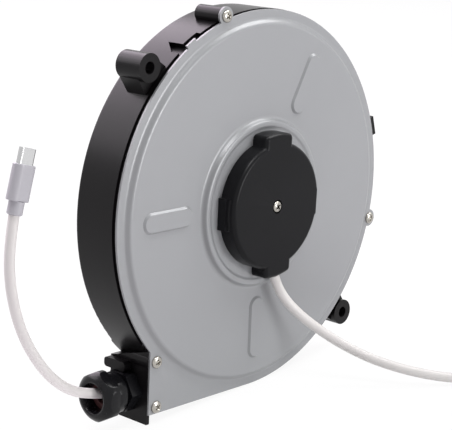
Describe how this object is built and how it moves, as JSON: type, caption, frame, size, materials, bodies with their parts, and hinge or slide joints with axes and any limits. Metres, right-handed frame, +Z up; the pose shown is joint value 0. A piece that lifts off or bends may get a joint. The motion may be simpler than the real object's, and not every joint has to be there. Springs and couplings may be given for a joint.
{
  "type": "retractable charging cable",
  "caption": "Round black casing with a pressed grey cover, a hub cap and a corner cable gland; a spring driven spool inside pays out a white charging lead.",
  "frame": {"origin": "on the reel's axis, in the plane of the mounting lugs' front faces and the casing's front rim", "axes": "+Z up, -Y out of the cover and hub cap, +Y along the reel's axis towards the back wall"},
  "size_m": [0.3289, 0.1417, 0.1795],
  "materials": {
    "black_casing": "satin moulded plastic",
    "grey_cover": "satin silver grey paint on pressed sheet",
    "nickel": "bright nickel",
    "cap_black": "fine textured moulded plastic",
    "gland_black": "semi gloss moulded plastic",
    "seal_rubber": "soft dark red rubber",
    "white_cord": "white soft plastic sheath",
    "white_plug": "white moulded plastic",
    "plug_steel": "bright stainless",
    "plug_core": "black moulded plastic",
    "steel": "turned steel",
    "spring_steel": "blued spring strip",
    "bronze": "sintered bronze",
    "spool_grey": "moulded plastic",
    "board_green": "laminate",
    "track_brass": "plated track",
    "tie_black": "hook and loop tape"
  },
  "bodies": {
    "casing": {"rear_housing": "black_casing", "front_cover": "grey_cover", "cover_screws": "nickel", "hub_cap": "cap_black", "hub_screw": "nickel", "inlet_grommet": "seal_rubber", "gland_body": "gland_black", "gland_nut": "gland_black", "gland_seal": "seal_rubber", "centre_shaft": "steel", "shaft_screw": "nickel", "thrust_washer": "steel", "retaining_ring": "spring_steel", "mainspring": "spring_steel", "lead_in": "white_cord", "pawl_pin": "steel", "pawl_spring": "spring_steel", "brush_block": "cap_black", "brush_pins": "track_brass", "output_cord": "white_cord", "lead_plug_collar": "white_plug", "lead_plug_overmould": "white_plug", "lead_plug_shell": "plug_steel", "lead_plug_insert": "plug_core", "input_cord": "white_cord", "input_coil": "white_cord", "coil_tie": "tie_black", "input_tail": "white_cord", "supply_plug_overmould": "white_plug", "supply_plug_shell": "plug_steel", "supply_plug_insert": "plug_core"},
    "reel": {"spool": "spool_grey", "spool_front_flange": "spool_grey", "rear_bush": "bronze", "front_bush": "bronze", "wound_cable": "white_cord", "slip_ring_board": "board_green", "slip_ring_tracks": "track_brass"},
    "latch": {"pawl": "steel"}
  },
  "joints": [
    {"name": "reel_spin", "type": "hinge", "parent": "casing", "child": "reel", "pos_m": [0, 0, 0], "axis": [0, 1, 0], "range_deg": [-90, 2520], "deforming": ["mainspring"]},
    {"name": "latch_swing", "type": "hinge", "parent": "casing", "child": "latch", "pos_m": [-0.045, 0.018, -0.0745], "axis": [0, 1, 0], "range_deg": [0, 10.5]}
  ]
}
